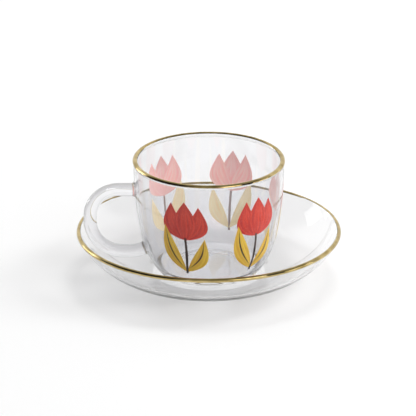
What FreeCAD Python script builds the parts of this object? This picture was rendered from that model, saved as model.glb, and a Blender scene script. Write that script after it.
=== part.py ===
import FreeCAD, Part
import math
import os
import Sketcher

# A clear glass coffee cup with a bent-rod handle, standing on its clear glass saucer.
# Both lips are gilded.  Millimetres, +Z up, the cup's axis on Z, the saucer's foot on Z = 0,
# the handle towards -X.

SIZES = [
    # alias, value, what it is
    ("cup_height", 54.0, "from the cup's foot to the top of its lip"),
    ("cup_rim_radius", 34.6, "outside radius of the cup's lip"),
    ("cup_foot_inset", 12.2, "how far inside the lip wall and foot would meet in a sharp edge"),
    ("cup_wall", 1.5, "thickness of the cup's wall"),
    ("cup_floor", 4.2, "height of the cup's inner floor over its foot"),
    ("cup_turn_height", 18.0, "height where the near-straight wall turns into the bowl"),
    ("cup_wall_radius", 185.0, "radius of the wall's slight outward curve"),
    ("cup_foot_round", 4.0, "rounding of the foot's edge"),
    ("cup_floor_round", 2.5, "rounding inside, between wall and floor"),
    ("cup_foot_ring", 4.9, "width of the ring that the cup stands on, from that sharp edge"),
    ("cup_dimple_curve", 9.5, "width of the curve inside the ring, up to the hollow's flat"),
    ("cup_dimple_depth", 0.8, "depth of the hollow under the foot"),
    ("cup_bead", 2.2, "diameter of the fire-polished bead at the lip"),
    ("cup_bead_outset", 0.25, "how far the bead stands out from the wall"),
    ("handle_rod", 6.0, "diameter of the handle's glass rod"),
    ("handle_reach", 22.5, "how far the handle reaches past the lip"),
    ("handle_top_drop", 15.1, "from the top of the lip down to the rod's upper run"),
    ("handle_low_height", 8.9, "from the foot up to the rod's lower run"),
    ("handle_low_bend", 15.0, "radius of the rod's lower bends, on its centre line"),
    ("handle_side_run", 2.0, "straight stretch between the upper and the lower bend"),
    ("handle_low_run", 3.3, "straight stretch under the lower bend"),
    ("handle_rise", 29.0, "angle in degrees at which the rod's lower end meets the wall"),
    ("handle_flare", 1.2, "radius of the flare where the rod is fused to the wall"),
    ("handle_root", 12.0, "how deep the rod's ends reach inside the cup before it is hollowed"),
    ("saucer_height", 21.7, "from the foot to the top of the saucer's lip"),
    ("saucer_floor", 2.4, "thickness of the saucer's flat well"),
    ("saucer_lip", 1.9, "thickness of the saucer's flank at its round lip"),
    ("saucer_margin", 3.1, "how far the saucer's lip lies outside the handle"),
    ("saucer_clearance", 0.8, "gap between the handle's lower bend and the saucer's flank"),
    ("saucer_foot_inset", 1.5, "how much smaller the foot is than the well"),
    ("gilding", 0.12, "thickness of the gilding"),
    ("cup_gilding_outer", 10.0, "where the cup's gilding ends outside, in degrees over level"),
    ("cup_gilding_inner", 143.0, "where the cup's gilding ends inside, in degrees over level"),
    ("saucer_gilding_outer", -28.0, "where the saucer's gilding ends outside, in degrees"),
    ("saucer_gilding_inner", 122.0, "where the saucer's gilding ends inside, in degrees"),
]

START, END, CENTRE = 1, 2, 3       # how a sketch counts the points of an edge
LEVEL_SLACK = 0.01                 # how level an edge has to be to count as level
RADIUS_SLACK = 0.05                # how near its radius has to be
JOIN_SLACK = 2.0                   # how far past the rod's radius its joint's edge may reach
LEAST_ROD_OUTSIDE = 0.4            # share of the rod's length that must lie outside the cup

doc = FreeCAD.newDocument("CoffeeCupAndSaucer")


def make_sheet():
    """Put every driving size in the sheet, one row each, under its alias."""
    sheet = doc.addObject("Spreadsheet::Sheet", "Sizes")
    for row, (alias, value, meaning) in enumerate(SIZES, start=1):
        sheet.set(f"A{row}", meaning)
        sheet.set(f"B{row}", str(value))
        sheet.setAlias(f"B{row}", alias)
    doc.recompute()
    return sheet


sizes = make_sheet()


def size(alias):
    """The present value of one cell of the sheet."""
    return float(sizes.get(alias))


# ---------------------------------------------------------------- sketching helpers

class Outline:
    """A sketch on a plane of its own body, whose sizes are bound to the sheet."""

    def __init__(self, body, name, role="XZ_Plane"):
        self.sketch = body.newObject("Sketcher::SketchObject", name)
        planes = [feature for feature in body.Origin.OriginFeatures if feature.Role == role]
        self.sketch.AttachmentSupport = [(planes[0], "")]
        self.sketch.MapMode = "FlatFace"

    def line(self, start, end, construction=False):
        """A straight edge between two (x, z) points."""
        edge = Part.LineSegment(FreeCAD.Vector(*start, 0), FreeCAD.Vector(*end, 0))
        return self.sketch.addGeometry(edge, construction)

    def circle(self, centre, radius, construction=False):
        """A whole round edge."""
        edge = Part.Circle(FreeCAD.Vector(*centre, 0), FreeCAD.Vector(0, 0, 1), radius)
        return self.sketch.addGeometry(edge, construction)

    def arc(self, centre, radius, first, last, construction=False):
        """A round edge, anticlockwise from one angle to the other, in radians."""
        circle = Part.Circle(FreeCAD.Vector(*centre, 0), FreeCAD.Vector(0, 0, 1), radius)
        return self.sketch.addGeometry(Part.ArcOfCircle(circle, first, last), construction)

    def rule(self, kind, *references):
        """A constraint without a size."""
        self.sketch.addConstraint(Sketcher.Constraint(kind, *references))

    def join(self, *ends):
        """Let the listed ends meet, the first with the second and so on, two by two."""
        for first, second in zip(ends[::2], ends[1::2]):
            self.rule("Coincident", *first, *second)

    def bind(self, kind, references, value, expression):
        """A constraint whose size follows an expression over the sheet."""
        index = self.sketch.addConstraint(Sketcher.Constraint(kind, *references, value))
        self.sketch.setExpression(f"Constraints[{index}]", expression)

    def place(self, edge, end, at, across=None, up=None):
        """Bind a point's distance from the origin across, up or both ways."""
        if across is not None:
            self.bind("DistanceX", (-1, 1, edge, end), at[0], across)
        if up is not None:
            self.bind("DistanceY", (-1, 1, edge, end), at[1], up)


def new_body(label):
    body = doc.addObject("PartDesign::Body", "Body_" + label)
    body.Label = label
    return body


def turned(body, kind, name, outline):
    """Turn an outline once round the vertical axis, to add or to cut."""
    feature = body.newObject("PartDesign::" + kind, name)
    feature.Profile = outline.sketch
    feature.ReferenceAxis = (outline.sketch, ["V_Axis"])
    feature.Angle = 360.0
    doc.recompute()
    return feature


def rounded(body, name, base, edges, radius_name):
    """Round the named edges of the last feature."""
    if not edges:
        raise RuntimeError(name + " finds no edge to round")
    feature = body.newObject("PartDesign::Fillet", name)
    feature.Base = (base, edges)
    feature.Radius = size(radius_name)
    feature.setExpression("Radius", "Sizes." + radius_name)
    doc.recompute()
    return feature


def ring_edges(shape, radius, height):
    """Names of the level round edges of this radius at this height."""
    names = []
    for number, edge in enumerate(shape.Edges, start=1):
        box = edge.BoundBox
        level = max(abs(box.ZMin - height), abs(box.ZMax - height)) < LEVEL_SLACK
        if level and abs(box.XMax - radius) < RADIUS_SLACK:
            names.append(f"Edge{number}")
    return names


def edges_within(shape, centre, reach):
    """Names of the edges that lie wholly inside a ball, apart from straight ones."""
    names = []
    for number, edge in enumerate(shape.Edges, start=1):
        if edge.Degenerated or edge.Curve.TypeId == "Part::GeomLine":
            continue
        if all((point - centre).Length < reach for point in edge.discretize(9)):
            names.append(f"Edge{number}")
    return names


# ---------------------------------------------------------------- the cup

def wall_arcs():
    """Centres, radii and meeting points of the two arcs that make the cup's outer wall.

    The upper arc leaves the lip upright.  The lower arc is tangent to it at the turn
    and passes through the foot's edge.
    """
    top = size("cup_height") - size("cup_bead") / 2
    upper_radius = size("cup_wall_radius")
    rim = size("cup_rim_radius") - size("cup_bead_outset")
    upper_centre = (rim - upper_radius, top)
    angle = math.asin((top - size("cup_turn_height")) / upper_radius)
    outward = (math.cos(angle), -math.sin(angle))
    turn = tuple(c + upper_radius * n for c, n in zip(upper_centre, outward))
    foot = (size("cup_rim_radius") - size("cup_foot_inset"), 0.0)
    step = (turn[0] - foot[0], turn[1] - foot[1])
    along = step[0] * outward[0] + step[1] * outward[1]
    lower_radius = (step[0] ** 2 + step[1] ** 2) / (2 * along)
    lower_centre = tuple(t - lower_radius * n for t, n in zip(turn, outward))
    foot_angle = math.atan2(foot[1] - lower_centre[1], foot[0] - lower_centre[0])
    return {
        "upper_centre": upper_centre, "upper_radius": upper_radius, "top": top, "rim": rim,
        "lower_centre": lower_centre, "lower_radius": lower_radius, "foot": foot,
        "turn": turn, "turn_angle": -angle, "foot_angle": foot_angle,
    }


def draw_wall(outline, wall, construction):
    """The outer wall's two tangent arcs, fully bound to the sheet."""
    upper = outline.arc(wall["upper_centre"], wall["upper_radius"], wall["turn_angle"], 0.0,
                        construction)
    lower = outline.arc(wall["lower_centre"], wall["lower_radius"], wall["foot_angle"],
                        wall["turn_angle"], construction)
    outline.rule("Tangent", upper, START, lower, END)
    outline.place(upper, END, (wall["rim"], wall["top"]),
                  "Sizes.cup_rim_radius - Sizes.cup_bead_outset",
                  "Sizes.cup_height - Sizes.cup_bead / 2")
    outline.rule("Horizontal", upper, CENTRE, upper, END)
    outline.bind("Radius", (upper,), wall["upper_radius"], "Sizes.cup_wall_radius")
    outline.place(lower, END, wall["turn"], up="Sizes.cup_turn_height")
    outline.place(lower, START, wall["foot"], "Sizes.cup_rim_radius - Sizes.cup_foot_inset")
    outline.rule("PointOnObject", lower, START, -1)
    return upper, lower


def cup_form(body):
    """The cup's outside as a filled body, with the shallow hollow under its foot."""
    wall = wall_arcs()
    outline = Outline(body, "CupForm")
    upper, lower = draw_wall(outline, wall, False)
    radius = wall["foot"][0] - size("cup_foot_ring")
    curve = size("cup_dimple_curve")
    flat = radius - curve
    depth = size("cup_dimple_depth")
    arch = (curve ** 2 + depth ** 2) / (2 * depth)
    spread = math.asin(curve / arch)
    foot = outline.line((radius, 0), wall["foot"])
    dimple = outline.arc((flat, depth - arch), arch, math.pi / 2 - spread, math.pi / 2)
    middle = outline.line((flat, depth), (0, depth))
    axis = outline.line((0, depth), (0, wall["top"]))
    top = outline.line((0, wall["top"]), (wall["rim"], wall["top"]))
    outline.join((lower, START), (foot, END), (foot, START), (dimple, START),
                 (middle, END), (axis, START), (axis, END), (top, START),
                 (top, END), (upper, END))
    outline.rule("Tangent", dimple, END, middle, START)
    outline.rule("PointOnObject", foot, START, -1)
    outline.rule("PointOnObject", middle, END, -2)
    outline.rule("Horizontal", middle)
    outline.rule("Vertical", axis)
    outline.rule("Horizontal", top)
    outline.bind("DistanceX", (foot, START, foot, END), wall["foot"][0] - radius,
                 "Sizes.cup_foot_ring")
    outline.bind("DistanceX", (middle, START, foot, START), curve, "Sizes.cup_dimple_curve")
    outline.place(middle, START, (flat, depth), up="Sizes.cup_dimple_depth")
    form = turned(body, "Revolution", "CupOutside", outline)
    edges = ring_edges(form.Shape, wall["foot"][0], 0.0)
    return rounded(body, "CupFootEdge", form, edges, "cup_foot_round")


def handle_path():
    """Corner points and bend centres of the rod's centre line, from its upper end."""
    side = -(size("cup_rim_radius") + size("handle_reach") - size("handle_rod") / 2)
    top = size("cup_height") - size("handle_top_drop")
    low = size("handle_low_height")
    low_bend = size("handle_low_bend")
    top_bend = top - low - low_bend - size("handle_side_run")
    rise = math.radians(size("handle_rise"))
    start = (-(size("cup_rim_radius") - size("handle_root")), top)
    low_run = (side + low_bend + size("handle_low_run"), low)
    risen = (low_run[0] + low_bend * math.sin(rise), low + low_bend * (1 - math.cos(rise)))
    end = (risen[0] + size("handle_root") * math.cos(rise),
           risen[1] + size("handle_root") * math.sin(rise))
    return {
        "start": start, "side": side, "top": top, "low": low, "top_bend": top_bend,
        "low_bend": low_bend, "rise": rise, "low_run": low_run, "risen": risen, "end": end,
    }


def cup_handle(body, route):
    """A round rod swept along straight runs and tangent bends, both ends inside the cup."""
    side, top, low = route["side"], route["top"], route["low"]
    top_bend, low_bend, rise = route["top_bend"], route["low_bend"], route["rise"]
    path = Outline(body, "HandlePath")
    top_run = path.line(route["start"], (side + top_bend, top))
    upper = path.arc((side + top_bend, top - top_bend), top_bend, math.pi / 2, math.pi)
    side_run = path.line((side, top - top_bend), (side, low + low_bend))
    lower = path.arc((side + low_bend, low + low_bend), low_bend, math.pi, 1.5 * math.pi)
    low_run = path.line((side + low_bend, low), route["low_run"])
    rising = path.arc((route["low_run"][0], low + low_bend), low_bend, -math.pi / 2,
                      rise - math.pi / 2)
    root = path.line(route["risen"], route["end"])
    for first, first_end, second, second_end in (
            (top_run, END, upper, START), (upper, END, side_run, START),
            (side_run, END, lower, START), (lower, END, low_run, START),
            (low_run, END, rising, START), (rising, END, root, START)):
        path.rule("Tangent", first, first_end, second, second_end)
    path.rule("Horizontal", top_run)
    path.rule("Vertical", side_run)
    path.rule("Horizontal", low_run)
    path.place(top_run, START, route["start"], "-(Sizes.cup_rim_radius - Sizes.handle_root)",
               "Sizes.cup_height - Sizes.handle_top_drop")
    path.place(side_run, START, (side, 0),
               across="-(Sizes.cup_rim_radius + Sizes.handle_reach - Sizes.handle_rod / 2)")
    path.place(low_run, START, (0, low), up="Sizes.handle_low_height")
    path.bind("Radius", (lower,), low_bend, "Sizes.handle_low_bend")
    path.bind("Radius", (rising,), low_bend, "Sizes.handle_low_bend")
    path.bind("Distance", (side_run,), size("handle_side_run"), "Sizes.handle_side_run")
    path.bind("Distance", (low_run,), size("handle_low_run"), "Sizes.handle_low_run")
    path.bind("Distance", (root,), size("handle_root"), "Sizes.handle_root")
    path.bind("Angle", (root,), rise, "Sizes.handle_rise * 1deg")

    section = Outline(body, "HandleSection", "YZ_Plane")
    ring = section.circle((0, top), size("handle_rod") / 2)
    section.rule("PointOnObject", ring, CENTRE, -2)
    section.place(ring, CENTRE, (0, top), up="Sizes.cup_height - Sizes.handle_top_drop")
    section.bind("Diameter", (ring,), size("handle_rod"), "Sizes.handle_rod")
    section.sketch.setExpression(
        "AttachmentOffset.Base.z", "-(Sizes.cup_rim_radius - Sizes.handle_root)")

    rod = body.newObject("PartDesign::AdditivePipe", "HandleRod")
    rod.Profile = section.sketch
    rod.Spine = path.sketch
    doc.recompute()
    return rod


def wall_at(height):
    """Outside radius of the cup's wall at a height on its lower or upper arc."""
    wall = wall_arcs()
    part = "upper" if height > size("cup_turn_height") else "lower"
    centre, radius = wall[part + "_centre"], wall[part + "_radius"]
    return centre[0] + math.sqrt(radius ** 2 - (height - centre[1]) ** 2)


def handle_flares(body, rod, route):
    """Flare the rod where it is fused to the wall, above and below."""
    reach = size("handle_rod") / 2 + JOIN_SLACK
    low_join = route["risen"][1]
    edges = []
    for height in (route["top"], low_join):
        join_point = FreeCAD.Vector(-wall_at(height), 0, height)
        edges += edges_within(rod.Shape, join_point, reach)
    return rounded(body, "HandleFlares", rod, edges, "handle_flare")


def cup_hollow(body):
    """Hollow the cup: the outer wall's arcs, moved inwards by the wall, down to the floor."""
    wall = wall_arcs()
    outline = Outline(body, "CupInside")
    outer_upper, outer_lower = draw_wall(outline, wall, True)
    thickness = size("cup_wall")
    floor = size("cup_floor")
    over = size("cup_height")
    inner_radius = wall["lower_radius"] - thickness
    floor_angle = math.asin((floor - wall["lower_centre"][1]) / inner_radius)
    corner = wall["lower_centre"][0] + inner_radius * math.cos(floor_angle)
    mouth = wall["rim"] - thickness
    upper = outline.arc(wall["upper_centre"], wall["upper_radius"] - thickness,
                        wall["turn_angle"], 0.0)
    lower = outline.arc(wall["lower_centre"], inner_radius, floor_angle, wall["turn_angle"])
    mouth_line = outline.line((mouth, wall["top"]), (mouth, over))
    top = outline.line((mouth, over), (0, over))
    axis = outline.line((0, over), (0, floor))
    base = outline.line((0, floor), (corner, floor))
    outline.rule("Tangent", upper, START, lower, END)
    outline.join((upper, END), (mouth_line, START), (mouth_line, END), (top, START),
                 (top, END), (axis, START), (axis, END), (base, START),
                 (base, END), (lower, START))
    outline.rule("Coincident", upper, CENTRE, outer_upper, CENTRE)
    outline.rule("Coincident", lower, CENTRE, outer_lower, CENTRE)
    outline.bind("Radius", (upper,), wall["upper_radius"] - thickness,
                 "Sizes.cup_wall_radius - Sizes.cup_wall")
    outline.rule("Vertical", mouth_line)
    outline.rule("Horizontal", top)
    outline.rule("Horizontal", base)
    outline.rule("Horizontal", upper, CENTRE, upper, END)
    outline.rule("PointOnObject", axis, START, -2)
    outline.rule("PointOnObject", axis, END, -2)
    outline.place(axis, START, (0, over), up="Sizes.cup_height")
    outline.place(axis, END, (0, floor), up="Sizes.cup_floor")
    hollow = turned(body, "Groove", "CupHollow", outline)
    edges = ring_edges(hollow.Shape, corner, floor)
    return rounded(body, "CupFloorEdge", hollow, edges, "cup_floor_round")


def cup_lip(body):
    """The fire-polished bead that ends the wall."""
    outline = Outline(body, "CupBead")
    radius = size("cup_bead") / 2
    centre = (size("cup_rim_radius") - radius, size("cup_height") - radius)
    ring = outline.circle(centre, radius)
    outline.place(ring, CENTRE, centre, "Sizes.cup_rim_radius - Sizes.cup_bead / 2",
                  "Sizes.cup_height - Sizes.cup_bead / 2")
    outline.bind("Diameter", (ring,), 2 * radius, "Sizes.cup_bead")
    return turned(body, "Revolution", "CupLip", outline)


def make_cup():
    """One piece of glass: bowl, handle and lip, standing in the saucer's well."""
    body = new_body("cup")
    cup_form(body)
    route = handle_path()
    rod = cup_handle(body, route)
    handle_flares(body, rod, route)
    cup_hollow(body)
    cup_lip(body)
    body.setExpression("Placement.Base.z", "Sizes.saucer_floor")
    return body


# ---------------------------------------------------------------- the saucer

def saucer_curves():
    """Centres and radii of the saucer's two flank arcs, and its lip's centre.

    The inner arc leaves the flat well level, passes the handle's lower bend at the
    named clearance and ends tangent to the round lip.  The outer arc leaves the foot
    level and ends tangent to the same lip.
    """
    lip = size("saucer_lip") / 2
    floor = size("saucer_floor")
    reach = size("cup_rim_radius") + size("handle_reach")
    lip_centre = (reach + size("saucer_margin") - lip, size("saucer_height") - lip)
    bend = size("handle_low_bend")
    rod = size("handle_rod") / 2
    keep_out = bend + rod + size("saucer_clearance")
    bend_centre = (reach - rod - bend, floor + size("handle_low_height") + bend)
    rise = lip_centre[1] - floor
    lift = bend_centre[1] - floor

    def inner_radius(well):
        across = lip_centre[0] - well
        return (across ** 2 + rise ** 2 - lip ** 2) / (2 * (rise + lip))

    def spare(well):
        radius = inner_radius(well)
        apart = math.hypot(bend_centre[0] - well, lift - radius)
        return radius - keep_out - apart

    near, far = 0.0, lip_centre[0] - rise
    while far - near > 1e-9:
        middle = (near + far) / 2
        if spare(middle) < 0:
            near = middle
        else:
            far = middle
    well = (near + far) / 2
    foot = well - size("saucer_foot_inset")
    across = lip_centre[0] - foot
    outer = (across ** 2 + lip_centre[1] ** 2 - lip ** 2) / (2 * (lip_centre[1] - lip))
    return {
        "lip": lip, "lip_centre": lip_centre, "floor": floor, "well": well, "foot": foot,
        "inner": inner_radius(well), "outer": outer, "keep_out": keep_out,
        "bend_centre": bend_centre,
    }


def angle_to(centre, point):
    return math.atan2(point[1] - centre[1], point[0] - centre[0])


def make_saucer():
    """One piece of glass: a flat well, a flank that curves up, and a round lip."""
    body = new_body("saucer")
    curves = saucer_curves()
    floor, well, foot = curves["floor"], curves["well"], curves["foot"]
    lip_centre = curves["lip_centre"]
    inner_centre = (well, floor + curves["inner"])
    outer_centre = (foot, curves["outer"])
    inner_angle = angle_to(inner_centre, lip_centre)
    outer_angle = angle_to(outer_centre, lip_centre)
    outline = Outline(body, "SaucerSection")
    base = outline.line((0, 0), (foot, 0))
    outer = outline.arc(outer_centre, curves["outer"], -math.pi / 2, outer_angle)
    lip = outline.arc(lip_centre, curves["lip"], outer_angle, inner_angle + math.pi)
    inner = outline.arc(inner_centre, curves["inner"], -math.pi / 2, inner_angle)
    top = outline.line((well, floor), (0, floor))
    axis = outline.line((0, floor), (0, 0))
    outline.join((axis, END), (base, START), (top, END), (axis, START))
    outline.rule("Coincident", base, START, -1, 1)
    outline.rule("PointOnObject", base, END, -1)
    outline.rule("PointOnObject", axis, START, -2)
    outline.rule("Horizontal", top)
    outline.rule("Tangent", base, END, outer, START)
    outline.rule("Tangent", outer, END, lip, START)
    outline.rule("Tangent", lip, END, inner, END)
    outline.rule("Tangent", inner, START, top, START)
    outline.place(axis, START, (0, floor), up="Sizes.saucer_floor")
    outline.bind("Radius", (lip,), curves["lip"], "Sizes.saucer_lip / 2")
    outline.place(lip, CENTRE, lip_centre,
                  "Sizes.cup_rim_radius + Sizes.handle_reach + Sizes.saucer_margin"
                  " - Sizes.saucer_lip / 2",
                  "Sizes.saucer_height - Sizes.saucer_lip / 2")
    guard = outline.circle(curves["bend_centre"], curves["keep_out"], True)
    outline.place(guard, CENTRE, curves["bend_centre"],
                  "Sizes.cup_rim_radius + Sizes.handle_reach - Sizes.handle_rod / 2"
                  " - Sizes.handle_low_bend",
                  "Sizes.saucer_floor + Sizes.handle_low_height + Sizes.handle_low_bend")
    outline.bind("Radius", (guard,), curves["keep_out"],
                 "Sizes.handle_low_bend + Sizes.handle_rod / 2 + Sizes.saucer_clearance")
    outline.rule("Tangent", guard, inner)
    outline.bind("DistanceX", (base, END, top, START), well - foot, "Sizes.saucer_foot_inset")
    turned(body, "Revolution", "SaucerGlass", outline)
    return body


# ---------------------------------------------------------------- the gilding

def make_gilding(label, centre, across, up, lip, lip_name, stops):
    """A thin band of gold fired on a round lip, from one angle round to another."""
    body = new_body(label)
    outline = Outline(body, "Band_" + label)
    first, last = (math.radians(size(stop)) for stop in stops)
    thickness = size("gilding")
    inside = outline.arc(centre, lip, first, last)
    outside = outline.arc(centre, lip + thickness, first, last)
    ends = []
    for angle in (first, last):
        inner = (centre[0] + lip * math.cos(angle), centre[1] + lip * math.sin(angle))
        outer = (centre[0] + (lip + thickness) * math.cos(angle),
                 centre[1] + (lip + thickness) * math.sin(angle))
        ends.append(outline.line(inner, outer))
    outline.join((inside, START), (ends[0], START), (ends[0], END), (outside, START),
                 (inside, END), (ends[1], START), (ends[1], END), (outside, END))
    outline.rule("Coincident", inside, CENTRE, outside, CENTRE)
    outline.place(inside, CENTRE, centre, across, up)
    outline.bind("Radius", (inside,), lip, f"Sizes.{lip_name} / 2")
    outline.bind("Radius", (outside,), lip + thickness, f"Sizes.{lip_name} / 2 + Sizes.gilding")
    for line, angle, stop in zip(ends, (first, last), stops):
        outline.bind("Angle", (line,), angle, f"Sizes.{stop} * 1deg")
    turned(body, "Revolution", "Gold_" + label, outline)
    return body


def make_cup_gilding():
    lip = size("cup_bead") / 2
    centre = (size("cup_rim_radius") - lip, size("cup_height") - lip)
    body = make_gilding(
        "cup_gilding", centre, "Sizes.cup_rim_radius - Sizes.cup_bead / 2",
        "Sizes.cup_height - Sizes.cup_bead / 2", lip, "cup_bead",
        ("cup_gilding_outer", "cup_gilding_inner"))
    body.setExpression("Placement.Base.z", "Sizes.saucer_floor")
    return body


def make_saucer_gilding():
    curves = saucer_curves()
    return make_gilding(
        "saucer_gilding", curves["lip_centre"],
        "Sizes.cup_rim_radius + Sizes.handle_reach + Sizes.saucer_margin"
        " - Sizes.saucer_lip / 2",
        "Sizes.saucer_height - Sizes.saucer_lip / 2", curves["lip"], "saucer_lip",
        ("saucer_gilding_outer", "saucer_gilding_inner"))


# ---------------------------------------------------------------- build and write

def check_document():
    """Stop if any object failed, or a sub-part is empty, invalid or not one solid."""
    for item in doc.Objects:
        if "Invalid" in item.State or "Error" in item.State:
            raise RuntimeError(f"{item.Name} failed: {item.State}")
    for body in bodies:
        shape = body.Shape
        if shape.isNull() or not shape.isValid() or len(shape.Solids) != 1:
            raise RuntimeError(body.Label + " isn't one valid solid")


def check_rod(cup_before, cup_after):
    """The rod's volume outside the wall can't be more than its section times its length."""
    path = doc.getObject("HandlePath").Shape
    full = math.pi * (size("handle_rod") / 2) ** 2 * path.Length
    added = cup_after - cup_before
    print(f"rod: path {path.Length:.1f} mm, full volume {full:.0f}, added {added:.0f} mm3")
    if not LEAST_ROD_OUTSIDE * full < added < full:
        raise RuntimeError("the handle's rod has a wrong volume")


bodies = [make_saucer(), make_saucer_gilding(), make_cup(), make_cup_gilding()]
doc.recompute()
check_document()
check_rod(doc.getObject("CupFootEdge").Shape.Volume, doc.getObject("HandleRod").Shape.Volume)

os.makedirs("parts", exist_ok=True)
for body in bodies:
    body.Shape.exportStep(f"parts/{body.Label}.step")
    box = body.Shape.BoundBox
    print(f"{body.Label}: {body.Shape.Volume / 1000:.2f} cm3, "
          f"{box.XLength:.1f} x {box.YLength:.1f} x {box.ZLength:.1f} mm, "
          f"from z {box.ZMin:.2f}")
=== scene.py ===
# %% [markdown]
# # A clear glass coffee cup on its glass saucer
#
# The object is two pieces of clear glass. The cup is a thin bowl with a rod for a handle, and the
# saucer is a wide shallow dish. Both lips carry a fired band of gold, and flowers are printed in
# enamel on the outside of the cup. We load the frame that the construction settled, and then
# build each visible surface again with enough fine faces for glass.

# %% Load the frame
import math

import bmesh
import bpy
from mathutils import Matrix, Vector


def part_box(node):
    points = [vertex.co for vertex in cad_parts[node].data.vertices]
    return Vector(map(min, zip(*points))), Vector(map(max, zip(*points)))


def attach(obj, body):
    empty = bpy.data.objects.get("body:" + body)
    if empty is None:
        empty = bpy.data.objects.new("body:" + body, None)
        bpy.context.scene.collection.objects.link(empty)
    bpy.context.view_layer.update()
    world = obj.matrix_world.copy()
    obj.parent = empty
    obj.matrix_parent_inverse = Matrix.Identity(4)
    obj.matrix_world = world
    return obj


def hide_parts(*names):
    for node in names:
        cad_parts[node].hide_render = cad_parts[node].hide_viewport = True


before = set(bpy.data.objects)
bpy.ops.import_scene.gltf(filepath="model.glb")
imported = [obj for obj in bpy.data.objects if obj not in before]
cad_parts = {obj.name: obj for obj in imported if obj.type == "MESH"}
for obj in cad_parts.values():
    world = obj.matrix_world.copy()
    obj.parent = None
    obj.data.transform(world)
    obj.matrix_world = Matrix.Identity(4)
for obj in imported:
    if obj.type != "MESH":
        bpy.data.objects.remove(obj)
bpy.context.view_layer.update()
print("nodes:", sorted(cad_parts))

# %% [markdown]
# ## Measures
#
# Blender works in metres, and a cup is easier to think about in millimetres, so one name, MM,
# turns one into the other. What the frame knows is read from it: where the cup stands, how high
# its lip is and how wide it is. The rest are the glassmaker's own measures, such as the wall's
# thickness and the radius of each bend.

# %% Measures read from the frame
MM = 0.001
cup_low, cup_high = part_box("cup")
saucer_low, saucer_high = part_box("saucer")
foot_level = cup_low.z
lip_level = cup_high.z
lip_radius = cup_high.x
saucer_radius = saucer_high.x
saucer_lip_level = saucer_high.z
print(f"cup stands at {foot_level / MM:.2f} mm, lip at {lip_level / MM:.2f} mm, "
      f"radius {lip_radius / MM:.2f} mm")

# %% Measures of the glass
wall = 1.5 * MM
floor_height = 4.2 * MM
bead = 1.1 * MM
bead_outset = 0.25 * MM
wall_curve = 185.0 * MM
turn_height = 18.0 * MM
foot_inset = 12.2 * MM
foot_ring = 4.9 * MM
dimple = 0.8 * MM
saucer_floor = foot_level
saucer_lip = 0.95 * MM
well_radius = 27.085 * MM
saucer_foot_inset = 1.5 * MM
rod_radius = 3.0 * MM
rod_side = -54.1 * MM
rod_top = lip_level - 15.1 * MM
rod_low = foot_level + 8.9 * MM
low_bend = 15.0 * MM
side_run = 2.0 * MM
top_bend = rod_top - rod_low - low_bend - side_run
low_run = 3.3 * MM
rise = math.radians(29.0)
print(f"upper bend of the rod: {top_bend / MM:.1f} mm")

# %% [markdown]
# ## The cup's wall
#
# Seen from the side the wall is two arcs that flow into each other: a very slight curve from the
# lip down, then a rounder one into the foot. Knowing the two arcs' centres lets us do three jobs
# with one set of numbers: draw the outside, draw the inside a wall's thickness further in, and
# lay the printed flowers on the glass.

# %% The two arcs of the wall
lip_foot = lip_level - bead
rim_radius = lip_radius - bead_outset
upper_centre = Vector((rim_radius - wall_curve, lip_foot))
turn_angle = math.asin((lip_foot - foot_level - turn_height) / wall_curve)
outward = Vector((math.cos(turn_angle), -math.sin(turn_angle)))
turn = upper_centre + wall_curve * outward
foot_edge = Vector((lip_radius - foot_inset, foot_level))
step = turn - foot_edge
belly_curve = step.length_squared / (2 * step.dot(outward))
lower_centre = turn - belly_curve * outward


def wall_radius(level, inside=0.0):
    """The wall's radius at a level, outside or a distance further inside."""
    centre, curve = (upper_centre, wall_curve) if level > turn.y else (lower_centre, belly_curve)
    return centre.x + math.sqrt((curve - inside) ** 2 - (level - centre.y) ** 2)


print(f"wall: {wall_radius(lip_foot) / MM:.1f} mm at the lip, {turn.x / MM:.1f} mm at the turn, "
      f"belly curve {belly_curve / MM:.1f} mm")

# %% [markdown]
# ## Turning outlines
#
# Round glass is turned, so we draw half its section and spin it about the upright axis. The
# section itself is made the same way: a single point extruded gives a straight edge, and a point
# spun about a centre gives a true arc. A small helper remembers the last point, so an outline
# reads like a path walked with a pencil.

# %% A pencil for outlines
UP = Vector((0, 0, 1))
SPIN_STEPS = 160
SAME_SPOT = 1e-7


class Pencil:
    """Draws an outline in the upright plane through the axis, one edge after another."""

    def __init__(self, radius, level):
        self.mesh = bmesh.new()
        self.last = self.mesh.verts.new((radius, 0, level))

    def line(self, radius, level, steps=1):
        """Straight to a point, in equal steps."""
        start = self.last.co.copy()
        end = Vector((radius, 0, level))
        for number in range(1, steps + 1):
            grown = bmesh.ops.extrude_vert_indiv(self.mesh, verts=[self.last])
            self.last = grown["verts"][0]
            self.last.co = start.lerp(end, number / steps)

    def arc(self, centre, degrees, steps):
        """Round a centre, given as radius and level. Positive degrees turn from out to up."""
        spun = bmesh.ops.spin(self.mesh, geom=[self.last], cent=(centre[0], 0, centre[1]),
                              axis=(0, -1, 0), angle=math.radians(degrees), steps=steps)
        ends = [item for item in spun["geom_last"] if isinstance(item, bmesh.types.BMVert)]
        self.last = ends[0]

    def turned(self, steps=SPIN_STEPS):
        """The outline spun once round the upright axis, closed, with its faces outwards."""
        bm = self.mesh
        bmesh.ops.remove_doubles(bm, verts=bm.verts, dist=SAME_SPOT)
        bmesh.ops.spin(bm, geom=bm.verts[:] + bm.edges[:], cent=(0, 0, 0), axis=(0, 0, 1),
                       angle=math.tau, steps=steps, use_merge=True)
        bmesh.ops.remove_doubles(bm, verts=bm.verts, dist=SAME_SPOT)
        loose = [edge for edge in bm.edges if not edge.link_faces]
        bmesh.ops.delete(bm, geom=loose, context="EDGES")
        bmesh.ops.recalc_face_normals(bm, faces=bm.faces)
        return bm


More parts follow.
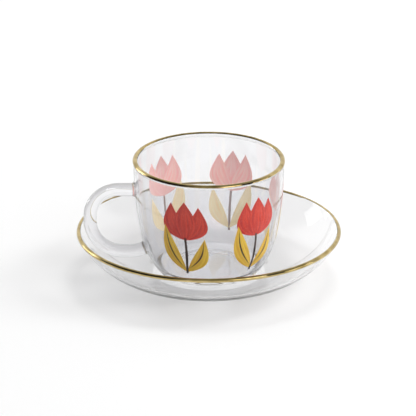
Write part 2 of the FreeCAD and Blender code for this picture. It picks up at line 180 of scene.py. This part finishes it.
def piece_from(bm, name, sharp_degrees=40.0):
    """Make an object of a bmesh, smooth but for edges sharper than this."""
    open_edges = sum(1 for edge in bm.edges if len(edge.link_faces) != 2)
    mesh = bpy.data.meshes.new(name)
    bm.to_mesh(mesh)
    bm.free()
    mesh.shade_smooth()
    mesh.set_sharp_from_angle(angle=math.radians(sharp_degrees))
    made = bpy.data.objects.new(name, mesh)
    bpy.context.scene.collection.objects.link(made)
    print(f"{name}: {len(mesh.polygons)} faces, {open_edges} open edges")
    return made


def polar(centre, length, degrees):
    """A point at a distance and angle from a centre, as radius and level."""
    angle = math.radians(degrees)
    return centre[0] + length * math.cos(angle), centre[1] + length * math.sin(angle)


# %% [markdown]
# ## The bowl
#
# The bowl's section goes once round the glass: from the axis under the foot, out over the ring
# it stands on, up the outer wall, over the fire-polished bead at the lip, down the inner wall and
# back along the floor. Corners that the burner has softened are small arcs, so that light bends
# over them and draws the grey lines which let us see clear glass at all.

# %% Turn the bowl
def turn_bowl():
    """The cup's bowl with its lip, as one closed bmesh."""
    foot_round = 4.0 * MM
    floor_round = 2.5 * MM
    curve_width = 9.5 * MM
    ring_inner = foot_edge.x - foot_ring
    arch = (curve_width ** 2 + dimple ** 2) / (2 * dimple)
    spread = math.degrees(math.asin(curve_width / arch))

    # where the rounded foot leaves the level ring and joins the belly
    foot_centre_level = foot_level + foot_round
    reach = belly_curve - foot_round
    foot_centre_x = lower_centre.x + math.sqrt(
        reach ** 2 - (foot_centre_level - lower_centre.y) ** 2)
    join = math.degrees(math.atan2(foot_centre_level - lower_centre.y,
                                   foot_centre_x - lower_centre.x))
    # the same inside, where the rounding runs from the belly to the floor
    inner_level = foot_level + floor_height
    inner_reach = belly_curve - wall - floor_round
    inner_x = lower_centre.x + math.sqrt(
        inner_reach ** 2 - (inner_level + floor_round - lower_centre.y) ** 2)
    inner_join = math.degrees(math.atan2(inner_level + floor_round - lower_centre.y,
                                         inner_x - lower_centre.x))
    turn_at = -math.degrees(turn_angle)
    # the bead is a round rim a little wider than the wall
    bead_x = lip_radius - bead
    out_touch = math.degrees(math.acos((rim_radius - bead_x) / bead))
    in_touch = math.degrees(math.acos((bead_x - rim_radius + wall) / bead))
    out_drop = bead * math.sin(math.radians(out_touch))
    in_drop = bead * math.sin(math.radians(in_touch))

    pencil = Pencil(0.0, foot_level + dimple)
    pencil.line(ring_inner - curve_width, foot_level + dimple, 4)
    pencil.arc((ring_inner - curve_width, foot_level + dimple - arch), -spread, 12)
    pencil.line(foot_centre_x, foot_level, 3)
    pencil.arc((foot_centre_x, foot_centre_level), 90 + join, 12)
    pencil.arc(lower_centre, turn_at - join, 22)
    pencil.arc(upper_centre, -turn_at - math.degrees(out_drop / wall_curve), 24)
    pencil.line(*polar((bead_x, lip_foot), bead, -out_touch))
    pencil.arc((bead_x, lip_foot), 180 + out_touch + in_touch, 28)
    pencil.line(rim_radius - wall, lip_foot - in_drop)
    top = pencil.last.co.z
    # a hair above the turn, so that the last point too lies on the upper arc
    hair = 1e-9
    for number in range(1, 25):
        level = top + (turn.y - top) * number / 24
        pencil.line(wall_radius(level + hair, wall), level)
    pencil.arc(lower_centre, inner_join - turn_at, 20)
    pencil.arc((inner_x, inner_level + floor_round), -90 - inner_join, 10)
    pencil.line(0.0, inner_level, 6)
    return pencil.turned()


bowl = piece_from(turn_bowl(), "cup_bowl")

# %% [markdown]
# ## The handle
#
# The handle is a solid glass rod, bent while soft and fused to the wall at both ends. We grow it
# as the lampworker does: a ring is drawn out straight, spun round each bend, and drawn out again.
# Where the rod meets the wall it spreads into a small trumpet. There each ring is fitted to the
# wall, so the flare has the same width all round, although the wall curves away from it.

# %% A rod that grows by runs and bends
RING_STEPS = 56
flare = 1.2 * MM
FLARE_STEPS = 7


class Rod:
    """A round rod in the upright plane through the axis, grown from a capped ring."""

    def __init__(self, radius, centre, heading):
        self.mesh = bmesh.new()
        self.heading = Vector(heading).normalized()
        made = bmesh.ops.create_circle(self.mesh, cap_ends=True, radius=radius,
                                       segments=RING_STEPS)
        aim = UP.rotation_difference(self.heading).to_matrix().to_4x4()
        bmesh.ops.transform(self.mesh, matrix=Matrix.Translation(centre) @ aim,
                            verts=made["verts"])
        self.ring = made["verts"]
        self.centre = Vector(centre)

    def ring_edges(self):
        """The edges that join the newest ring's corners."""
        ring = set(self.ring)
        return [edge for edge in self.mesh.edges if set(edge.verts) <= ring]

    def run(self, length, steps=1):
        """Straight on."""
        for _ in range(steps):
            grown = bmesh.ops.extrude_edge_only(self.mesh, edges=self.ring_edges())
            self.ring = [item for item in grown["geom"] if isinstance(item, bmesh.types.BMVert)]
            move = self.heading * length / steps
            bmesh.ops.translate(self.mesh, vec=move, verts=self.ring)
            self.centre += move

    def bend(self, radius, degrees, steps):
        """Round a bend to the left of the heading, seen from the front of the cup."""
        aside = Vector((-self.heading.z, 0, self.heading.x))
        hub = self.centre + aside * radius
        spun = bmesh.ops.spin(self.mesh, geom=self.ring_edges(), cent=hub, axis=(0, -1, 0),
                              angle=math.radians(degrees), steps=steps)
        self.ring = [item for item in spun["geom_last"] if isinstance(item, bmesh.types.BMVert)]
        turn_by = Matrix.Rotation(math.radians(degrees), 3, (0, -1, 0))
        self.centre = hub + turn_by @ (self.centre - hub)
        self.heading = turn_by @ self.heading

    def close(self):
        """Cap the newest ring."""
        bmesh.ops.contextual_create(self.mesh, geom=self.ring_edges())
        bmesh.ops.recalc_face_normals(self.mesh, faces=self.mesh.faces)
        return self.mesh


def way_to_wall(point, heading):
    """How far it is from a point, straight along a heading, to the cup's outer wall."""
    near, far = -30 * MM, 30 * MM
    halvings = 40
    for _ in range(halvings):
        middle = (near + far) / 2
        spot = point + heading * middle
        if math.hypot(spot.x, spot.y) > wall_radius(spot.z):
            near = middle
        else:
            far = middle
    return near


def fit_to_wall(rod_piece, towards, spread, clear):
    """Widen the newest ring by a spread and set it a clearance off the wall."""
    for corner in rod_piece.ring:
        arm = corner.co - rod_piece.centre
        arm -= towards * arm.dot(towards)
        spot = rod_piece.centre + arm.normalized() * (rod_radius + spread)
        corner.co = spot + towards * (way_to_wall(spot, towards) - clear)


# %% Grow the handle from its upper end to its lower end
ring_gap = 0.1 * MM


def grow_flare(handle, centre, towards, numbers):
    """Draw out a trumpet's rings. Number 0 is as wide as the rod, the last lies on the wall."""
    for number in numbers:
        angle = math.radians(90) * number / FLARE_STEPS
        handle.run(ring_gap)
        handle.centre = Vector(centre)
        fit_to_wall(handle, towards, flare * (1 - math.cos(angle)),
                    flare * (1 - math.sin(angle)))


def grow_handle():
    """The rod from inside the wall above, round both bends, into the wall below."""
    inside = 0.6 * MM
    top_wall = -wall_radius(rod_top)
    handle = Rod(rod_radius + flare, (top_wall + inside, 0, rod_top), (-1, 0, 0))
    inwards = Vector((1, 0, 0))
    fit_to_wall(handle, inwards, flare, -inside)
    grow_flare(handle, (top_wall, 0, rod_top), inwards, range(FLARE_STEPS, -1, -1))
    # from the flare on the rings are plain circles again
    bend_start = rod_side + top_bend
    handle.run(ring_gap)
    handle.centre = Vector((bend_start, 0, rod_top))
    for corner in handle.ring:
        corner.co.x = bend_start
    handle.bend(top_bend, 90, 28)
    handle.run(rod_top - top_bend - rod_low - low_bend, 2)
    handle.bend(low_bend, 90, 30)
    handle.run(low_run, 2)
    handle.bend(low_bend, math.degrees(rise), 10)
    reach = way_to_wall(handle.centre, handle.heading)
    low_wall = handle.centre + handle.heading * reach
    handle.run(reach / 2)
    grow_flare(handle, low_wall, handle.heading, range(FLARE_STEPS + 1))
    handle.run(ring_gap)
    handle.centre = low_wall.copy()
    fit_to_wall(handle, handle.heading, flare, -inside)
    return handle.close()


handle_piece = piece_from(grow_handle(), "cup_handle")

# %% [markdown]
# ## Fuse the handle to the bowl
#
# Two overlapping glass meshes would show the buried rod end as a ghost, because light would bend
# at each of its faces. The real cup is one piece of glass, so a boolean union makes it one skin.

# %% One skin of glass
def fused(first, second, name):
    """The union of two closed pieces as a new piece; the two are taken away."""
    joint = first.modifiers.new("Fuse", "BOOLEAN")
    joint.operation = "UNION"
    joint.solver = "MANIFOLD"
    joint.object = second
    graph = bpy.context.evaluated_depsgraph_get()
    mesh = bpy.data.meshes.new_from_object(first.evaluated_get(graph))
    for part in (first, second):
        bpy.data.objects.remove(part)
    bm = bmesh.new()
    bm.from_mesh(mesh)
    bpy.data.meshes.remove(mesh)
    bmesh.ops.remove_doubles(bm, verts=bm.verts, dist=SAME_SPOT / 10)
    return piece_from(bm, name)


cup_glass = fused(bowl, handle_piece, "cup_glass")
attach(cup_glass, "root")
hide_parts("cup")

# %% [markdown]
# ## The saucer
#
# The saucer is pressed glass: a flat well, where the cup stands, and a flank that curves up to a
# round lip. Both of its faces are true arcs that leave the flat level and end tangent to the lip,
# so we only need the lip's centre and the well's edge to find their radii.

# %% Turn the saucer
lip_centre = (saucer_radius - saucer_lip, saucer_lip_level - saucer_lip)


def flank_curve(edge, level):
    """The radius of an arc that leaves a level at an edge and ends tangent to the lip."""
    across = lip_centre[0] - edge
    lift = lip_centre[1] - level
    side = saucer_lip if level > 0 else -saucer_lip
    return (across ** 2 + lift ** 2 - saucer_lip ** 2) / (2 * (lift + side))


def angle_up(centre, point):
    """The angle at which a point is seen from a centre, in degrees over level."""
    return math.degrees(math.atan2(point[1] - centre[1], point[0] - centre[0]))


def turn_saucer():
    """The whole saucer as one closed bmesh."""
    foot = well_radius - saucer_foot_inset
    outer = flank_curve(foot, 0.0)
    inner = flank_curve(well_radius, saucer_floor)
    outer_centre = (foot, outer)
    inner_centre = (well_radius, saucer_floor + inner)
    outer_end = angle_up(outer_centre, lip_centre)
    inner_end = angle_up(inner_centre, lip_centre)
    pencil = Pencil(0.0, 0.0)
    pencil.line(foot, 0.0, 6)
    pencil.arc(outer_centre, 90 + outer_end, 44)
    pencil.arc(lip_centre, inner_end + 180 - outer_end, 26)
    pencil.arc(inner_centre, -90 - inner_end, 44)
    pencil.line(0.0, saucer_floor, 6)
    print(f"saucer arcs: outer {outer / MM:.1f} mm, inner {inner / MM:.1f} mm")
    return pencil.turned(200)


saucer_glass = piece_from(turn_saucer(), "saucer_glass")
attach(saucer_glass, "root")
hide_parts("saucer")

# %% [markdown]
# ## The gilding
#
# Both lips are painted with liquid gold and fired, which leaves a film that follows the round lip
# a little way down on each side. A film has an inner and an outer arc. The inner one is sunk a
# hair into the glass, so there is no gap in which light could get lost between the two.

# %% Turn the two bands of gold
film = 0.12 * MM
sink = 0.02 * MM
band_steps = 24


def turn_band(centre, lip, first, last, steps):
    """A thin band round a lip, between two angles in degrees over level."""
    pencil = Pencil(*polar(centre, lip - sink, first))
    pencil.arc(centre, last - first, band_steps)
    pencil.line(*polar(centre, lip + film, last))
    pencil.arc(centre, first - last, band_steps)
    pencil.line(*polar(centre, lip - sink, first))
    return pencil.turned(steps)


cup_gold = piece_from(
    turn_band((lip_radius - bead, lip_level - bead), bead, 10.0, 143.0, 200), "cup_gold")
saucer_gold = piece_from(turn_band(lip_centre, saucer_lip, -28.0, 122.0, 240), "saucer_gold")
for band, node in ((cup_gold, "cup_gilding"), (saucer_gold, "saucer_gilding")):
    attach(band, "root")
    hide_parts(node)

# %% [markdown]
# ## The printed flowers
#
# Enamel transfers are flat prints that are laid on the round wall and fired. We draw them the
# same way: every petal, leaf and stem is a flat grid, pinched into its outline, and then wrapped
# round the cup. The print gets a hair of thickness, because a sheet without any has no inside
# for the light to stay out of. Its own UV map runs across and along each petal, for the veins.

# %% Draw a petal and wrap it round the wall
print_inner = -0.02 * MM
print_skin = 0.03 * MM
layer_gap = 0.005 * MM


def outline_width(along, fullness):
    """Half the width of a petal at a place along it, from 0 at its foot to 1 at its tip."""
    return math.sin(math.pi * along ** fullness)


def on_wall(across, level, direction, proud):
    """A point of a flat print, wrapped round the wall at a direction in degrees."""
    radius = wall_radius(level)
    angle = math.radians(direction) + across / radius
    return Vector(((radius + proud) * math.cos(angle), (radius + proud) * math.sin(angle),
                   level))


def draw_petal(bm, direction, foot, tip, width, bow=0.0, fullness=1.0, layer=0, blunt=0.0):
    """Lay a petal between two flat points, given across and up in millimetres."""
    made = bmesh.ops.create_grid(bm, x_segments=6, y_segments=26, size=1.0, calc_uvs=True)
    start, end = Vector(foot) * MM, Vector(tip) * MM
    spine = end - start
    aside = Vector((spine.y, -spine.x)).normalized()
    inner = print_inner if layer == 0 else layer * print_skin + layer_gap
    for corner in made["verts"]:
        along = (corner.co.y + 1) / 2
        half = width * MM / 2 * max(outline_width(along, fullness), blunt)
        middle = start + spine * along + aside * (bow * MM * math.sin(math.pi * along))
        spot = middle + aside * corner.co.x * half
        corner.co = on_wall(spot.x, foot_level + spot.y, direction, inner)
    faces = {face for corner in made["verts"] for face in corner.link_faces}
    grown = bmesh.ops.extrude_face_region(bm, geom=list(faces))
    for item in grown["geom"]:
        if isinstance(item, bmesh.types.BMVert):
            outwards = Vector((item.co.x, item.co.y, 0)).normalized()
            item.co += outwards * ((layer + 1) * print_skin - inner)


# %% Compose a tulip and repeat it
flower_directions = [-110.0, -50.0, 10.0, 70.0, 130.0]
faces_inwards = -0.25


def print_layer(name, strokes):
    """One colour of the print: its strokes on every flower, as one piece."""
    bm = bmesh.new()
    bm.loops.layers.uv.new("petal")
    for direction in flower_directions:
        for stroke in strokes:
            draw_petal(bm, direction, **stroke)
    bmesh.ops.remove_doubles(bm, verts=bm.verts, dist=SAME_SPOT)
    bmesh.ops.dissolve_degenerate(bm, dist=SAME_SPOT, edges=bm.edges)
    bmesh.ops.recalc_face_normals(bm, faces=bm.faces)
    # the second ink is for the faces that lie on the glass
    for face in bm.faces:
        centre = face.calc_center_median()
        outwards = Vector((centre.x, centre.y, 0))
        if face.normal.dot(outwards) < faces_inwards * centre.length:
            face.material_index = 1
    made = piece_from(bm, name, sharp_degrees=60.0)
    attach(made, "root")
    return made


bloom = [
    dict(foot=(0.1, 26.5), tip=(-6.0, 44.5), width=9.5, bow=-3.0, fullness=0.8),
    dict(foot=(0.9, 26.5), tip=(7.0, 43.5), width=9.5, bow=3.0, fullness=0.8),
    dict(foot=(0.5, 26.0), tip=(0.5, 45.5), width=10.5, bow=0.0, fullness=0.85, layer=1),
]
leaves = [
    dict(foot=(0.0, 9.5), tip=(-9.5, 33.0), width=7.0, bow=-2.2, fullness=0.9),
    dict(foot=(0.4, 9.5), tip=(9.5, 27.5), width=6.6, bow=2.6, fullness=0.9),
]
stems = [
    dict(foot=(0.0, 8.5), tip=(0.5, 27.5), width=1.3, bow=0.5, blunt=0.85, layer=1),
    dict(foot=(-0.6, 11.5), tip=(-9.0, 31.5), width=0.7, bow=-2.1, layer=1),
    dict(foot=(1.0, 11.5), tip=(9.0, 26.3), width=0.7, bow=2.4, layer=1),
]
print_red = print_layer("print_blooms", bloom)
print_gold = print_layer("print_leaves", leaves)
print_dark = print_layer("print_stems", stems)

# %% [markdown]
# ## Materials
#
# Every surface here is a small tree of nodes. A few helpers keep the trees short: one sets a
# node's inputs by name, one gives noise that clings to the piece, and the others turn that noise
# into a number, a colour or a faint waviness.

# %% Helpers for node materials
def node_of(tree, kind):
    """The node of a kind that a new tree comes with."""
    return next(node for node in tree.nodes if node.type == kind)


def fill(node, values):
    """Set a node's inputs by their names."""
    for name, value in values.items():
        node.inputs[name].default_value = value


def new_material(name):
    """A node material, with its tree and its shader."""
    material = bpy.data.materials.new(name)
    material.use_nodes = True
    tree = material.node_tree
    return material, tree, node_of(tree, "BSDF_PRINCIPLED")


def speckle(tree, scale, detail=3.0):
    """Noise in the piece's own measure."""
    place = tree.nodes.new("ShaderNodeTexCoord")
    noise = tree.nodes.new("ShaderNodeTexNoise")
    fill(noise, {"Scale": scale, "Detail": detail})
    tree.links.new(place.outputs["Object"], noise.inputs["Vector"])
    return noise.outputs["Fac"]


def between(tree, value, low, high):
    """Turn a value of 0 to 1 into a number between two limits."""
    node = tree.nodes.new("ShaderNodeMapRange")
    fill(node, {"To Min": low, "To Max": high})
    tree.links.new(value, node.inputs["Value"])
    return node.outputs["Result"]


def two_tones(tree, value, start, dark, end, light):
    """Pass from one colour to another while a value rises from start to end."""
    ramp = tree.nodes.new("ShaderNodeValToRGB")
    stops = ramp.color_ramp.elements
    stops[0].position, stops[0].color = start, (*dark, 1)
    stops[1].position, stops[1].color = end, (*light, 1)
    tree.links.new(value, ramp.inputs["Fac"])
    return ramp.outputs["Color"]


def waviness(tree, shader, value, depth):
    """Let a value raise and lower the surface by a depth in millimetres."""
    bump = tree.nodes.new("ShaderNodeBump")
    fill(bump, {"Distance": depth * MM})
    tree.links.new(value, bump.inputs["Height"])
    tree.links.new(bump.outputs["Normal"], shader.inputs["Normal"])


# %% [markdown]
# Glass is one shader: light goes through it, bends, and mirrors a little at the surface. Lamps
# would leave a black shadow under it, because a renderer doesn't follow bent light back to a
# lamp, so for shadow rays only the glass turns into a plain clear sheet that dims them. Both
# the glass and its shadow sheet have one colour where they are met straight on and another where
# they are met edge on. The cup's wall gets greyer towards its outline, as a wall seen along its
# length does. The saucer gets clearer instead, which keeps the flank under its front lip light.
# That isn't how glass works, but how this one is wanted.

# %% Clear glass
SLANT_SEEN = 0.6
SLANT_SHADED = 0.4


def by_slant(tree, blend, facing, grazing):
    """One colour where the glass is looked at straight, and another where it is seen edge on."""
    slant = tree.nodes.new("ShaderNodeLayerWeight")
    slant.inputs["Blend"].default_value = blend
    mix = tree.nodes.new("ShaderNodeMix")
    mix.data_type = "RGBA"
    first, second = [socket for socket in mix.inputs if socket.type == "RGBA"]
    first.default_value = (*facing, 1)
    second.default_value = (*grazing, 1)
    tree.links.new(slant.outputs["Facing"], mix.inputs["Factor"])
    return next(socket for socket in mix.outputs if socket.type == "RGBA")


def clear_glass(name, tint, edge_tint, shade, edge_shade):
    """Blown or pressed glass that lets lamps through."""
    material, tree, shader = new_material(name)
    tree.links.new(by_slant(tree, SLANT_SEEN, tint, edge_tint), shader.inputs["Base Color"])
    fill(shader, {"Transmission Weight": 1.0, "Roughness": 0.0, "IOR": 1.47})
    waviness(tree, shader, speckle(tree, 60.0, 2.0), 0.02)
    clear = tree.nodes.new("ShaderNodeBsdfTransparent")
    tree.links.new(by_slant(tree, SLANT_SHADED, shade, edge_shade), clear.inputs["Color"])
    path = tree.nodes.new("ShaderNodeLightPath")
    mix = tree.nodes.new("ShaderNodeMixShader")
    tree.links.new(path.outputs["Is Shadow Ray"], mix.inputs["Fac"])
    tree.links.new(shader.outputs["BSDF"], mix.inputs[1])
    tree.links.new(clear.outputs["BSDF"], mix.inputs[2])
    tree.links.new(mix.outputs["Shader"], node_of(tree, "OUTPUT_MATERIAL").inputs["Surface"])
    return material


shadow_tints = dict(shade=(0.88, 0.88, 0.885), edge_shade=(0.62, 0.62, 0.62))
cup_glass.data.materials.append(clear_glass(
    "blown_glass", tint=(0.93, 0.93, 0.945), edge_tint=(0.80, 0.80, 0.81), **shadow_tints))
saucer_glass.data.materials.append(clear_glass(
    "pressed_glass", tint=(0.89, 0.89, 0.90), edge_tint=(1.0, 1.0, 1.0), **shadow_tints))

# %% [markdown]
# Fired gold isn't a perfect mirror: the brush leaves it a little thicker here and thinner there,
# so its colour wanders slightly and its gloss with it.

# %% Fired gold
def fired_gold():
    """Burnished gold with the brush's slight unevenness."""
    material, tree, shader = new_material("fired_gold")
    patches = two_tones(tree, speckle(tree, 180.0), 0.3, (0.34, 0.25, 0.08),
                        0.7, (0.66, 0.52, 0.25))
    tree.links.new(patches, shader.inputs["Base Color"])
    fill(shader, {"Metallic": 1.0})
    tree.links.new(between(tree, speckle(tree, 900.0), 0.02, 0.07), shader.inputs["Roughness"])
    waviness(tree, shader, speckle(tree, 400.0), 0.01)
    return material


gold = fired_gold()
for band in (cup_gold, saucer_gold):
    band.data.materials.append(gold)

# %% [markdown]
# The enamel is glossy, like nail varnish. Fine veins run along each petal, read from its own UV
# map. The side that lies on the glass is paler, partly because the colour is fired on a thin pale
# ground and partly as painted light for what would shine through the film from behind. It also
# has a painted glow, which stands in for that light.

# %% Enamel
def enamel(name, dark, light, veins, painted_glow=0.0):
    """Printed enamel: two tones that run along the petal, with veins across its width."""
    material, tree, shader = new_material(name)
    uv = tree.nodes.new("ShaderNodeUVMap")
    uv.uv_map = "petal"
    stretch = tree.nodes.new("ShaderNodeMapping")
    fill(stretch, {"Scale": (veins, 1.2, 1.0)})
    grain = tree.nodes.new("ShaderNodeTexNoise")
    fill(grain, {"Scale": 1.0, "Detail": 4.0, "Distortion": 0.3})
    tree.links.new(uv.outputs["UV"], stretch.inputs["Vector"])
    tree.links.new(stretch.outputs["Vector"], grain.inputs["Vector"])
    tones = two_tones(tree, grain.outputs["Fac"], 0.32, dark, 0.62, light)
    tree.links.new(tones, shader.inputs["Base Color"])
    # a painted glow: emission that stands in for light shining through the film from behind
    if painted_glow:
        tree.links.new(tones, shader.inputs["Emission Color"])
        fill(shader, {"Emission Strength": painted_glow})
    tree.links.new(between(tree, speckle(tree, 2500.0), 0.18, 0.34), shader.inputs["Roughness"])
    waviness(tree, shader, speckle(tree, 2500.0), 0.01)
    return material


def add_inks(piece, name, dark, light, back_dark, back_light, veins):
    """The ink that shows outside, and the paler one with a painted glow that shows through the
    glass.
    """
    piece.data.materials.append(enamel(name, dark, light, veins))
    piece.data.materials.append(enamel(name + "_ground_painted_glow", back_dark, back_light, veins, painted_glow=0.36))


# each ink's second pair of colours is its glass side: paler partly from its pale ground, partly
# as painted light
add_inks(print_red, "red_enamel", (0.48, 0.02, 0.02), (0.80, 0.07, 0.04),
         (0.90, 0.46, 0.45), (0.98, 0.66, 0.62), 9.0)
add_inks(print_gold, "golden_enamel", (0.70, 0.33, 0.02), (0.98, 0.68, 0.08),
         (0.94, 0.74, 0.42), (0.98, 0.88, 0.62), 7.0)
add_inks(print_dark, "dark_enamel", (0.02, 0.012, 0.01), (0.06, 0.03, 0.02),
         (0.30, 0.22, 0.20), (0.42, 0.32, 0.30), 5.0)

# %% [markdown]
# ## Floor, light and camera
#
# A product on white is lit by large soft lamps. The floor shows white to the camera and in the
# glass, and still takes the object's shadow.

# %% Floor
floor_radius = 6.0
floor_white = 0.63
floor_glow = 0.32
floor_glow_in_glass = 0.30


def combined(tree, operation, values):
    """Several values put together, one after another."""
    result = values[0]
    for value in values[1:]:
        node = tree.nodes.new("ShaderNodeMath")
        node.operation = operation
        tree.links.new(result, node.inputs[0])
        tree.links.new(value, node.inputs[1])
        result = node.outputs["Value"]
    return result


def white_floor():
    """A pale floor that shows white to the camera where no shadow falls on it."""
    material, tree, shader = new_material("white_floor")
    fill(shader, {"Base Color": (floor_white, floor_white, floor_white, 1), "Roughness": 1.0,
                  "Specular IOR Level": 0.0, "Emission Color": (1, 1, 1, 1)})
    path = tree.nodes.new("ShaderNodeLightPath")
    bent = combined(tree, "MAXIMUM", [path.outputs["Is Glossy Ray"],
                                      path.outputs["Is Transmission Ray"]])
    direct = path.outputs["Is Camera Ray"]
    shown = combined(tree, "MAXIMUM", [between(tree, direct, 0.0, floor_glow),
                                       between(tree, bent, 0.0, floor_glow_in_glass)])
    tree.links.new(shown, shader.inputs["Emission Strength"])
    return material


floor_bm = bmesh.new()
bmesh.ops.create_circle(floor_bm, cap_ends=True, radius=floor_radius, segments=96)
floor = piece_from(floor_bm, "floor")
floor.data.materials.append(white_floor())

# %% [markdown]
# Clear glass is only seen by what it bends into view, and polished gold by what it mirrors. So
# the room has light and dark parts: it is white at the back, greyer in front and under the
# ceiling, and has a dark corner at the left and another at the right. The edges of the glass
# gather them as soft grey lines, and the round gold mirrors a dark band between bright ones.
# Looked at directly, the room is plain white.

# %% World
# how far towards the back or up a direction points, and the light that comes from there
FRONT, BACK = (-0.6, 0.60), (0.5, 1.0)
MIDDLE, CEILING = (0.45, 1.0), (0.90, 0.35)
# towards each dark corner, how near to it the shade starts and is full, and the light left there
dark_corners = [((-0.82, -0.25, 0.48), 0.66, 0.88, 0.03),
                ((0.92, -0.25, 0.34), 0.80, 0.93, 0.05)]


def eased(tree, value, start, end):
    """Ease from one level to another. Each of start and end is a value and the level there."""
    node = tree.nodes.new("ShaderNodeMapRange")
    node.interpolation_type = "SMOOTHSTEP"
    fill(node, {"From Min": start[0], "From Max": end[0], "To Min": start[1], "To Max": end[1]})
    tree.links.new(value, node.inputs["Value"])
    return node.outputs["Result"]


def studio_world():
    """A room with a white back, a greyer front and ceiling, and two dark corners."""
    world = bpy.data.worlds.new("studio")
    world.use_nodes = True
    tree = world.node_tree
    place = tree.nodes.new("ShaderNodeTexCoord")
    split = tree.nodes.new("ShaderNodeSeparateXYZ")
    tree.links.new(place.outputs["Generated"], split.inputs["Vector"])
    shades = [eased(tree, split.outputs["Y"], FRONT, BACK),
              eased(tree, split.outputs["Z"], MIDDLE, CEILING)]
    for corner, outer, inner, darkness in dark_corners:
        toward = tree.nodes.new("ShaderNodeVectorMath")
        toward.operation = "DOT_PRODUCT"
        toward.inputs[1].default_value = Vector(corner).normalized()
        tree.links.new(place.outputs["Generated"], toward.inputs[0])
        shades.append(eased(tree, toward.outputs["Value"], (outer, 1.0), (inner, darkness)))
    room = combined(tree, "MULTIPLY", shades)
    path = tree.nodes.new("ShaderNodeLightPath")
    level = combined(tree, "MAXIMUM", [room, path.outputs["Is Camera Ray"]])
    back = node_of(tree, "BACKGROUND")
    fill(back, {"Color": (1, 1, 1, 1)})
    tree.links.new(level, back.inputs["Strength"])
    return world


bpy.context.scene.world = studio_world()

# %% [markdown]
# Lamp light that comes down through glass is already counted by the shadow rays, so the lamps
# hide from rays that leave a surface and are bent by the glass. The room isn't a lamp, so its
# light reaches everything that way. The two broad lamps that carry most of the light aren't
# mirrored, because their images would be bright squares in the saucer. A soft window and two
# slim strips give the glass its gleams and the gold its bright lines.

# %% Lamps
def soft_lamp(name, direction, distance, width, height, glow, mirrored=True):
    """A flat soft lamp that faces the object, given how bright its face looks.

    A lamp that isn't mirrored lights the object without showing in it.
    """
    lamp = bpy.data.lights.new(name, "AREA")
    lamp.shape = "RECTANGLE"
    lamp.size, lamp.size_y = width, height
    lamp.energy = glow * math.pi * width * height
    made = bpy.data.objects.new(name, lamp)
    aim = Vector(direction).normalized()
    made.location = aim * distance
    made.rotation_euler = (-aim).to_track_quat("-Z", "Y").to_euler()
    made.visible_transmission = False
    made.visible_glossy = mirrored
    bpy.context.scene.collection.objects.link(made)
    floor_light = glow * width * height / distance ** 2 * aim.z / math.pi
    print(f"{name}: lights the floor to {floor_light:.2f}")
    return made


soft_lamp("lamp_above", (0.15, 0.38, 1.0), 2.0, 0.7, 0.7, 9.5, mirrored=False)
soft_lamp("lamp_window", (-0.825, 0.445, 0.36), 1.4, 0.4, 0.4, 2.2)
soft_lamp("lamp_right", (0.80, 0.12, 0.65), 1.8, 0.6, 0.6, 14.0, mirrored=False)
soft_lamp("strip_right", (0.92, -0.12, 0.27), 1.4, 0.75, 0.14, 7.0)
soft_lamp("strip_left", (-0.83, 0.53, 0.12), 1.4, 0.50, 0.12, 9.0)
soft_lamp("lamp_front", (0.55, -0.75, 0.55), 1.6, 0.8, 0.8, 2.0)

# %% [markdown]
# The camera stands well back with a long lens, as for a catalogue, and looks down a little, so
# both lips open into ovals.

# %% Camera
sensor = 36.0
elevation = math.radians(21.8)
distance = 3.0
view_width = 0.1895
target = Vector((-0.00036, 0.0, 0.03224))
scene = bpy.context.scene
scene.view_settings.view_transform = "Standard"
camera_data = bpy.data.cameras.new("camera")
camera_data.sensor_width = sensor
camera_data.lens = sensor * distance / view_width
camera = bpy.data.objects.new("camera", camera_data)
camera.location = target + distance * Vector((0, -math.cos(elevation), math.sin(elevation)))
camera.rotation_euler = (math.pi / 2 - elevation, 0, 0)
scene.collection.objects.link(camera)
scene.camera = camera
print(f"camera {distance:.1f} m away, lens {camera_data.lens:.0f} mm")
